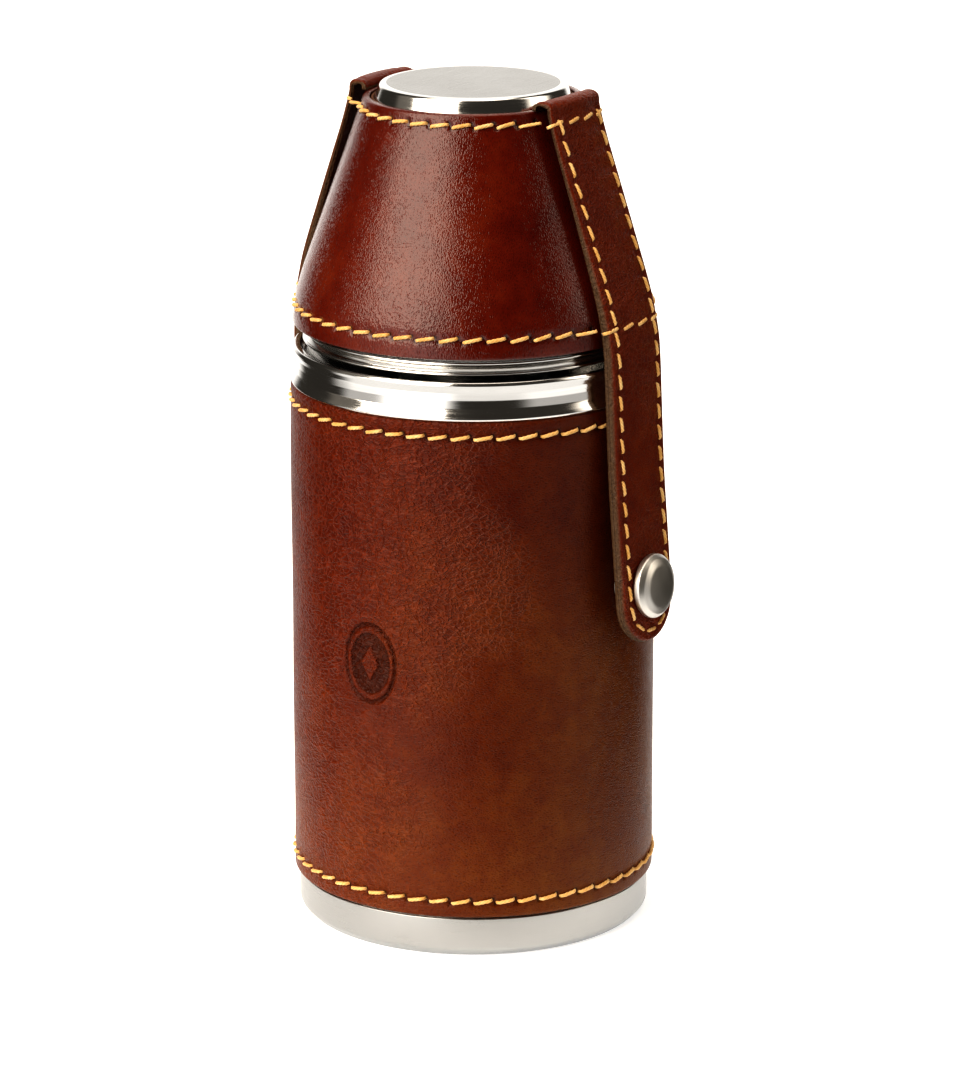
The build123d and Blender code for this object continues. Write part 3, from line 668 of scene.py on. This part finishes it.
class Strap:
    """A two-layer strap along a path of its outer face in the XZ plane."""

    def __init__(self, side, path, hug):
        self.side = side
        self.curve, self.length = spline(path, 900)
        self.s = np.linspace(0, self.length, 900)
        tangent = np.gradient(self.curve, self.s, axis=0)
        self.tangent = tangent / np.linalg.norm(tangent, axis=1)[:, None]
        self.hug = hug

    def frame(self, s):
        x = np.interp(s, self.s, self.curve[:, 0])
        z = np.interp(s, self.s, self.curve[:, 1])
        tx = np.interp(s, self.s, self.tangent[:, 0])
        tz = np.interp(s, self.s, self.tangent[:, 1])
        return x, z, tx, tz

    def at_z(self, z):
        half = np.argmax(self.curve[:, 1])
        part = self.curve[half:, 1]
        return float(np.interp(-z, -part, self.s[half:]))

    def place(self, s, y, w):
        """Point at path distance s, offset y across and w out of the face, with its normal."""
        x, z, tx, tz = self.frame(s)
        nx, nz = -tz, tx
        bend = np.maximum(self.hug(z), 0.02) / np.maximum(x, 12.0)
        turn = y * bend
        px = x - (1 - np.cos(turn)) / bend + nx * w * np.cos(turn)
        py = np.sin(turn) / bend + nx * w * np.sin(turn)
        pz = z + nz * w
        normal = np.stack(np.broadcast_arrays(self.side * nx * np.cos(turn), nx * np.sin(turn), nz), -1)
        return np.stack(np.broadcast_arrays(self.side * px, py, pz), -1), normal


def strap_hug(high_z, low_z, at_top, at_bottom):
    """How far the strap bends round the flask: 0 is flat, 1 follows it fully."""
    return lambda z: at_bottom + (at_top - at_bottom) * smoothstep(z, low_z, high_z)


TOP_PATH = [(20.25, COVER_TOP + 0.05), (20.3, COVER_TOP + 1.1), (20.85, COVER_TOP + 1.8),
            (22.0, COVER_TOP + 2.1), (23.3, COVER_TOP + 1.95), (24.2, COVER_TOP + 1.3),
            (24.45, COVER_TOP + 0.3), (24.6, COVER_TOP - 0.9)]


def cone_path(z):
    slope = cone_slope(z)
    out = STRAP_THICK * math.sqrt(1 + slope * slope)
    return (float(cone_radius(z)) + out, z)


FRONT_PATH = TOP_PATH + [cone_path(z) for z in (158, 150, 140, 131, 126.5)] + [
    (37.7, 123.0), (38.15, 120.0), (38.4, 116.0), (38.75, 108.0), (39.45, 94.0), (40.4, 82.0),
    (41.15, 72.4), (41.9, 62.6), (42.0, 61.5)]
BACK_PATH = TOP_PATH + [cone_path(z) for z in (158, 150, 140, 131, 126.5)] + [
    (37.85, 123.0), (38.35, 119.0), (38.55, 114.0), (38.5, 108.0), (38.45, 100.0), (38.45, 80.0),
    (38.45, 62.6), (38.45, 61.5)]

front = Strap(1, FRONT_PATH, strap_hug(130, 112, 0.42, 0.10))
back = Strap(-1, BACK_PATH, strap_hug(135, 118, 0.5, 1.0))


def build_strap(name, strap, thickness_at, stitch_lines, material):
    """Plan-shape grid with rounded borders, two layers and a round tip."""
    radius = STRAP_HALF
    end = strap.length
    centre = end - radius
    straight = np.arange(0, centre, 0.45)
    angles = np.linspace(0, math.radians(87), 40)
    s_rows = np.concatenate([straight, centre + radius * np.sin(angles)])
    half = np.concatenate([np.full(len(straight), radius), radius * np.cos(angles)])
    u = np.sin(np.linspace(-math.pi / 2, math.pi / 2, 61))
    u = 0.6 * u + 0.4 * np.linspace(-1, 1, 61)
    s = np.repeat(s_rows[:, None], len(u), 1)
    y = half[:, None] * u[None, :]
    beyond = np.maximum(s - centre, 0)
    gap = np.where(s > centre, radius - np.sqrt(beyond ** 2 + y ** 2), radius - np.abs(y))
    gap = np.clip(np.minimum(gap, s + 0.02), 0, None)

    def roll(distance, size):
        d = np.clip(distance / size, 0, 1)
        return size * (1 - np.sqrt(np.clip(1 - (1 - d) ** 2, 0, 1)))

    dent = np.zeros_like(s)
    painted_hole_shade = np.zeros_like(s)
    line = radius - STRAP_INSET
    line_gap = np.where(s > centre, np.abs(np.sqrt(beyond ** 2 + y ** 2) - line), np.abs(np.abs(y) - line))
    dent += 0.10 * np.exp(-(line_gap / 0.8) ** 2)
    for hs, hy in stitch_lines:
        near_rows = np.where(np.abs(s_rows - hs) < 2.5)[0]
        if len(near_rows) == 0:
            continue
        sl = slice(near_rows[0], near_rows[-1] + 1)
        d2 = (s[sl] - hs) ** 2 + (y[sl] - hy) ** 2
        dent[sl] += 0.10 * np.exp(-d2 / 0.16)
        # painted shade at each needle hole
        painted_hole_shade[sl] = np.maximum(painted_hole_shade[sl], np.exp(-d2 / 0.20))
    z_now = strap.frame(s)[1]
    thickness = thickness_at(z_now, s)
    crown = 0.12 * (1 - (y / radius) ** 2) - 0.12
    uneven = 0.05 * wave(s * 0.12, y * 1.5, 3)
    top_w = -roll(gap, 0.75) - dent + crown + uneven * smoothstep(gap, 0.5, 3)
    bottom_w = -thickness + roll(gap, 0.4)
    top, _ = strap.place(s, y, top_w)
    bottom, _ = strap.place(s, y, bottom_w)
    rows, cols = s.shape
    verts = np.concatenate([top.reshape(-1, 3), bottom.reshape(-1, 3)])
    shift = rows * cols
    faces = grid_faces(rows, cols)
    faces += [tuple(reversed([shift + i for i in f])) for f in grid_faces(rows, cols)]
    edge = [np.clip(1 - gap / 0.28, 0, 1).reshape(-1), np.clip(1.0 - gap / 3, 0.5, 1).reshape(-1)]
    # painted shade at the needle holes on the top face; none underneath
    hole = [np.clip(0.12 * painted_hole_shade, 0, 1).reshape(-1), np.zeros(shift)]
    loop = [(i, 0) for i in range(rows)] + [(rows - 1, j) for j in range(1, cols)]
    loop += [(i, cols - 1) for i in range(rows - 2, -1, -1)] + [(0, j) for j in range(cols - 2, 0, -1)]
    li = np.array([i for i, _ in loop])
    lj = np.array([j for _, j in loop])
    upper, lower = top_w[li, lj], bottom_w[li, lj]
    out_s = np.where(s[li, lj] > centre, beyond[li, lj] / radius, 0.0)
    out_y = np.where(s[li, lj] > centre, y[li, lj] / radius, np.sign(y[li, lj]))
    out_s = np.where(li == 0, -1.0, out_s)
    out_y = np.where(li == 0, 0.0, out_y)
    levels = [0.12, 0.3, 0.44, 0.5, 0.56, 0.7, 0.88]
    bulges = [0.10, 0.14, 0.11, 0.0, 0.11, 0.14, 0.10]
    previous = [i * cols + j for i, j in loop]
    previous_ids = previous
    start = len(verts)
    extra = []
    for level, bulge in zip(levels, bulges):
        w = upper * (1 - level) + lower * level
        ring, _ = strap.place(np.clip(s[li, lj] + out_s * bulge, 0, end), y[li, lj] + out_y * bulge, w)
        extra.append(ring)
        edge.append(np.full(len(loop), 1.0))
        hole.append(np.full(len(loop), 0.75 if level == 0.5 else 0.0))
    verts = np.concatenate([verts] + extra)
    for k in range(len(levels) + 1):
        if k < len(levels):
            ids = [start + k * len(loop) + n for n in range(len(loop))]
        else:
            ids = [shift + i * cols + j for i, j in loop]
        for n in range(len(loop)):
            m = (n + 1) % len(loop)
            faces.append((previous_ids[n], ids[n], ids[m], previous_ids[m]))
        previous_ids = ids
    return make_object(name, verts, faces, material,
                       {"edge": np.concatenate(edge), "hole": np.concatenate(hole)}, recalc=True)


def strap_rows(s_from, centre_s):
    """Stitch ends along both sides and round the tip, as (s, y) pairs."""
    line = STRAP_HALF - STRAP_INSET
    count = round((centre_s - s_from) / STRAP_PITCH)
    step = (centre_s - s_from) / count
    pairs = []
    for i in range(count):
        middle = s_from + (i + 0.5) * step
        for side in (-1, 1):
            slant = 0.27 + rng.uniform(-0.06, 0.06)
            pairs.append(((middle - STRAP_STITCH / 2, side * line - slant),
                          (middle + STRAP_STITCH / 2, side * line + slant)))
    turns = round(math.pi * line / STRAP_PITCH)
    for i in range(turns):
        a = math.pi * (i + 0.5) / turns
        reach = STRAP_STITCH / 2 / line
        pairs.append(((centre_s + line * math.sin(a - reach), line * math.cos(a - reach)),
                      (centre_s + line * math.sin(a + reach), line * math.cos(a + reach))))
    return pairs


def thread_on(name, strap, pairs):
    stitches = []
    depth = -STITCH_LIFT
    for (s0, y0), (s1, y1) in pairs:
        p0, n0 = strap.place(np.array([s0]), np.array([y0]), np.array([depth]))
        p1, n1 = strap.place(np.array([s1]), np.array([y1]), np.array([depth]))
        stitches.append((p0[0], p1[0], n0[0], n1[0], STITCH_LIFT))
    return stitch_mesh(name, stitches, thread, 0.92)


def thin_at_top(z, s):
    """The strap is skived where it folds over the rim, and full weight below the cone."""
    skived = 0.3 + 1.0 * smoothstep(s, 0.0, 4.5)
    return skived + (STRAP_THICK - 1.3) * smoothstep(-z, -158, -118)


front_start = front.at_z(COVER_HIGH_ROW + 1.4)
front_pairs = strap_rows(front_start, front.length - STRAP_HALF)
back_start = back.at_z(COVER_HIGH_ROW + 1.4)
back_pairs = strap_rows(back_start, back.length - STRAP_HALF)

front_ends = [end for pair in front_pairs for end in pair]
front_piece = build_strap("stud_strap", front, thin_at_top, front_ends, strap_leather)
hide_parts("front_strap_upper", "front_strap_tab")
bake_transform(front_piece)
front_thread = thread_on("stud_strap_stitches", front, front_pairs)
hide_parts("front_strap_upper_thread", "front_strap_tab_thread")
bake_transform(front_thread)

back_ends = [end for pair in back_pairs for end in pair]
back_piece = build_strap("hinge_strap", back, thin_at_top, back_ends, strap_leather)
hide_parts("back_strap_upper", "back_strap_lower")
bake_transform(back_piece)
back_thread = thread_on("hinge_strap_stitches", back, back_pairs)
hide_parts("back_strap_upper_thread", "back_strap_lower_thread")
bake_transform(back_thread)

def over_strap(angle, z):
    """Radius of the outer face at an angle: the cone, or the strap where one lies on it."""
    cone_r = float(cone_radius(z))
    strap = front if math.cos(angle) > 0 else back
    y = (cone_r + STRAP_THICK) * math.sin(angle)
    for _ in range(3):
        point, _normal = strap.place(np.array([strap.at_z(z)]), np.array([y]), np.array([-0.3]))
        reach = math.hypot(point[0][0], point[0][1])
        y *= abs(math.sin(angle)) / max(abs(point[0][1]) / reach, 1e-6) if abs(y) > 1e-3 else 1.0
    beyond = abs(y) - STRAP_HALF
    return reach if beyond < 0.2 else max(cone_r - 0.22, reach - 0.9 * beyond)


for label, count, row_z, length in (("cover_bottom", LOW_COUNT, COVER_LOW_ROW, STITCH),
                                    ("cover_top", HIGH_COUNT, COVER_HIGH_ROW, STITCH)):
    slope = cone_slope(row_z)
    piece = stitch_mesh(label + "_stitches", row_stitches(
        count, row_z, over_strap, lambda a, h: outward(a, slope), length=length), thread)
    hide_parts(label + "_thread")
    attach(piece, "cover")

# -------------------------------------------------------------------- the steel

BASE_R = base_high[0]
BASE_TOP = base_high[2] - 0.35
base = lathe("base_ring", rounded([
             (0, 0.0, 0), (29.0, 0.0, 0.1), (29.2, 0.3, 0.1), (29.8, 0.3, 0.1), (30.0, 0, 0.1),
             (BASE_R - 1.4, 0, 0.9), (BASE_R, 1.5, 1.2), (BASE_R, BASE_TOP, 0.25), (34.27, BASE_TOP, 0.1),
             (34.27, 1.3, 0.2), (0, 1.22, 0)], arc=7), brushed)
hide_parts("base_cup")
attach(base, "flask")

BAND_LOW = band_low[2]
BAND_TOP = band_high[2]
band_curve = [(34.3, BAND_LOW, 0.05), (35.55, BAND_LOW, 0.2), (35.9, BAND_LOW + 0.55, 0.35),
              (35.6, BAND_LOW + 1.25, 0.5), (35.05, BAND_LOW + 2.4, 1.2), (34.95, BAND_LOW + 4.0, 2.2),
              (35.1, BAND_LOW + 5.6, 1.2), (35.4, BAND_LOW + 6.5, 0.4), (35.5, BAND_LOW + 7.05, 0.3),
              (35.1, BAND_TOP, 0.35), (34.0, BAND_TOP - 0.02, 0.2), (33.4, BAND_TOP - 0.3, 0.3),
              (14.0, BAND_TOP - 0.3, 0.4), (13.2, BAND_TOP, 0.3), (11.06, BAND_TOP, 0.1),
              (11.06, 114.2, 0.1), (34.3, 114.15, 0.1)]
band = lathe("shoulder_band", rounded(band_curve, True, 8), polished, 320, closed=True)
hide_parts("shoulder")
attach(band, "flask")

for index in range(1, 5):
    low, high = size_of(f"cup_{index}")
    crown, rim = high[2], low[2] + 0.04
    wall = (33.25 - 18.1) / (crown - rim - 0.8)
    inner = 18.1 + 0.6 * wall - 0.42
    bead = [(32.85 + 0.6 * math.cos(t), rim + 0.75 + 0.4 * math.sin(t)) for t in np.linspace(-1.45, 1.25, 13)]
    profile = [(0, crown, 0), (16.85, crown, 0.1), (18.15, crown - 0.02, 1.25), (32.95, rim + 1.6, 0.3)]
    outside = rounded(profile, arc=14)
    inside = rounded([(32.6, rim + 0.5, 0), (inner, crown - 0.62, 0.9), (0, crown - 0.62, 0)], arc=6)
    outline = np.concatenate([outside[:-1], np.array(bead)[::-1], inside])
    cup = lathe(f"nest_cup_{index}_skin", outline, polished, 280)
    cup.data.materials.append(satin)
    for polygon in cup.data.polygons:
        centre = polygon.center
        if math.hypot(centre.x, centre.y) < 0.0168 and abs(centre.z - crown * MM) < 0.0003:
            polygon.material_index = 1
    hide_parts(f"cup_{index}")
    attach(cup, f"nest_cup_{index}")

tilt = np.array([1.0, 0.0, 0.077])
cap_r = (snap_high[1] - snap_low[1]) / 2
dome_r = cap_r + 0.15
button = lathe("snap_button", rounded([(1.85, -1.0, 0), (1.85, 0.06, 0), (cap_r - 0.25, 0.06, 0.1),
               (dome_r, 0.5, 0.3), (dome_r, 1.5, 0.7), (dome_r - 0.8, 2.35, 1.0), (4.2, 2.85, 3.0),
               (0, 3.1, 0)], arc=12), nickel, 160, axis=((41.2, 0, STUD_Z - 0.06), tilt))
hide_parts("snap_cap")
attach(button, "strap_tab")

for name, material in (("body_tube", turned), ("neck", turned), ("cap_shell", turned),
                       ("cap_insert", insert_plastic),
                       ("cap_seal", rubber), ("snap_stud", nickel), ("snap_socket", nickel),
                       ("snap_spring", nickel)):
    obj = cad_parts[name]
    obj.data.materials.clear()
    obj.data.materials.append(material)

# ----------------------------------------------------------- stage, light, camera

CAMERA_TURN = math.radians(34.0)
to_camera = Vector((math.sin(CAMERA_TURN), -math.cos(CAMERA_TURN), 0))
to_right = Vector((math.cos(CAMERA_TURN), math.sin(CAMERA_TURN), 0))


def stage_disc(name, inner, outer, material):
    mesh = bpy.data.meshes.new(name)
    bm = bmesh.new()
    rings = []
    for radius in (inner, outer):
        rings.append([bm.verts.new((radius * math.cos(a), radius * math.sin(a), 0.0))
                      for a in np.linspace(0, 2 * math.pi, RING_SIDES, endpoint=False)])
    if inner < 0.001:
        bm.faces.new(rings[1])
        for vert in rings[0]:
            bm.verts.remove(vert)
    else:
        for i in range(RING_SIDES):
            j = (i + 1) % RING_SIDES
            bm.faces.new((rings[0][i], rings[1][i], rings[1][j], rings[0][j]))
    bm.to_mesh(mesh)
    bm.free()
    obj = bpy.data.objects.new(name, mesh)
    bpy.context.scene.collection.objects.link(obj)
    mesh.materials.append(material)
    return obj


floor_material, _, floor_shader = new_material("pale_floor")
floor_shader.inputs["Base Color"].default_value = (0.80, 0.80, 0.80, 1)
floor_shader.inputs["Roughness"].default_value = 0.9
floor_shader.inputs["Specular IOR Level"].default_value = 0.0
floor_shader.inputs["Emission Color"].default_value = (1, 1, 1, 1)
floor_shader.inputs["Emission Strength"].default_value = 0.4
stage_disc("floor_near", 0, 0.11, floor_material)
floor_far = stage_disc("floor_far", 0.11, 14.0, floor_material)
floor_far.visible_glossy = False
floor_far.visible_diffuse = False


def build_world():
    world = bpy.data.worlds.new("studio")
    bpy.context.scene.world = world
    world.use_nodes = True
    tree = world.node_tree
    tree.nodes.clear()
    out = tree.nodes.new("ShaderNodeOutputWorld")
    background = tree.nodes.new("ShaderNodeBackground")
    tree.links.new(background.outputs[0], out.inputs[0])
    coords = node(tree, "ShaderNodeTexCoord").outputs["Generated"]
    side, ahead = [node(tree, "ShaderNodeVectorMath", {0: coords, 1: tuple(way)},
                        operation="DOT_PRODUCT").outputs["Value"] for way in (to_right, to_camera)]
    azimuth = math_node(tree, "MULTIPLY", math_node(tree, "ARCTAN2", side, ahead), 180 / math.pi)
    height = node(tree, "ShaderNodeSeparateXYZ", {0: coords}).outputs[2]
    elevation = math_node(tree, "MULTIPLY", math_node(tree, "ARCSINE", height), 180 / math.pi)

    def window(value, low, high, soft):
        rise = remap(tree, value, low - soft, low + soft, 0, 1, True)
        fall = remap(tree, value, high - soft, high + soft, 1, 0, True)
        return math_node(tree, "MULTIPLY", rise, fall)

    sums = {WARM: AMBIENT, NEUTRAL: 0.0}
    for low, high, soft, e_low, e_high, e_soft, power, tint in LIGHTS:
        box = math_node(tree, "MULTIPLY", window(azimuth, low, high, soft),
                        window(elevation, e_low, e_high, e_soft))
        sums[tint] = math_node(tree, "ADD", math_node(tree, "MULTIPLY", box, power), sums[tint])
    colors = []
    for tint, value in sums.items():
        scaled = node(tree, "ShaderNodeVectorMath", {0: tint}, operation="SCALE")
        tree.links.new(value, scaled.inputs["Scale"])
        colors.append(scaled.outputs[0])
    light = node(tree, "ShaderNodeVectorMath", {0: colors[0], 1: colors[1]}, operation="ADD").outputs[0]
    # straight behind the object the studio is plain white
    seen = node(tree, "ShaderNodeLightPath").outputs["Is Camera Ray"]
    tree.links.new(mix_color(tree, seen, light, (1, 1, 1, 1)), background.inputs["Color"])


WARM = (1.0, 0.905, 0.775)
NEUTRAL = (1.0, 0.97, 0.925)
AMBIENT = 0.045
# azimuth from the camera (positive to the right), elevation, and strength of each soft light
LIGHTS = [
    (-78, -20, 1.5, 8, 58, 2.5, 4.25, WARM),         # large softbox, front left
    (-104, -78, 5, 0, 50, 5, 0.12, WARM),           # its spill
    (-90, -16, 6, -24, 6, 5, 0.45, NEUTRAL),        # table edge to the left
    (-58, -16, 9, -24, 6, 5, 1.1, NEUTRAL),
    (34, 84, 7, -24, 4, 5, 0.42, NEUTRAL),           # table edge to the right
    (74, 102, 8, 5, 50, 8, 1.8, WARM),              # narrow fill, right
    (-102, 102, 7, -95, -20, 5, 0.8, NEUTRAL),      # table in front
    (148, 185, 7, -95, 58, 6, 0.95, NEUTRAL),       # white backdrop
    (-185, -148, 7, -95, 58, 6, 0.95, NEUTRAL),
    (-200, 200, 1, 64, 95, 6, 2.0, WARM),           # overhead
]
build_world()

SENSOR_WIDTH = 36.0
LENS = 166.66251
CAMERA_DISTANCE = 0.9643
CAMERA_HEIGHT = 0.3445
CAMERA_SIDESTEP = 0.0013
CAMERA_PITCH = 0.2736

camera_data = bpy.data.cameras.new("camera")
camera = bpy.data.objects.new("camera", camera_data)
bpy.context.scene.collection.objects.link(camera)
bpy.context.scene.camera = camera
camera_data.sensor_width = SENSOR_WIDTH
camera_data.lens = LENS
camera.location = to_camera * CAMERA_DISTANCE + Vector((0, 0, CAMERA_HEIGHT)) + to_right * CAMERA_SIDESTEP
look = (-to_camera * math.cos(CAMERA_PITCH) + Vector((0, 0, -math.sin(CAMERA_PITCH)))).normalized()
camera.rotation_mode = "QUATERNION"
camera.rotation_quaternion = look.to_track_quat("-Z", "Y")
camera_data.clip_start = 0.05
camera_data.clip_end = 50
bpy.context.scene.view_settings.view_transform = "Standard"
bpy.context.scene.view_settings.look = "High Contrast"
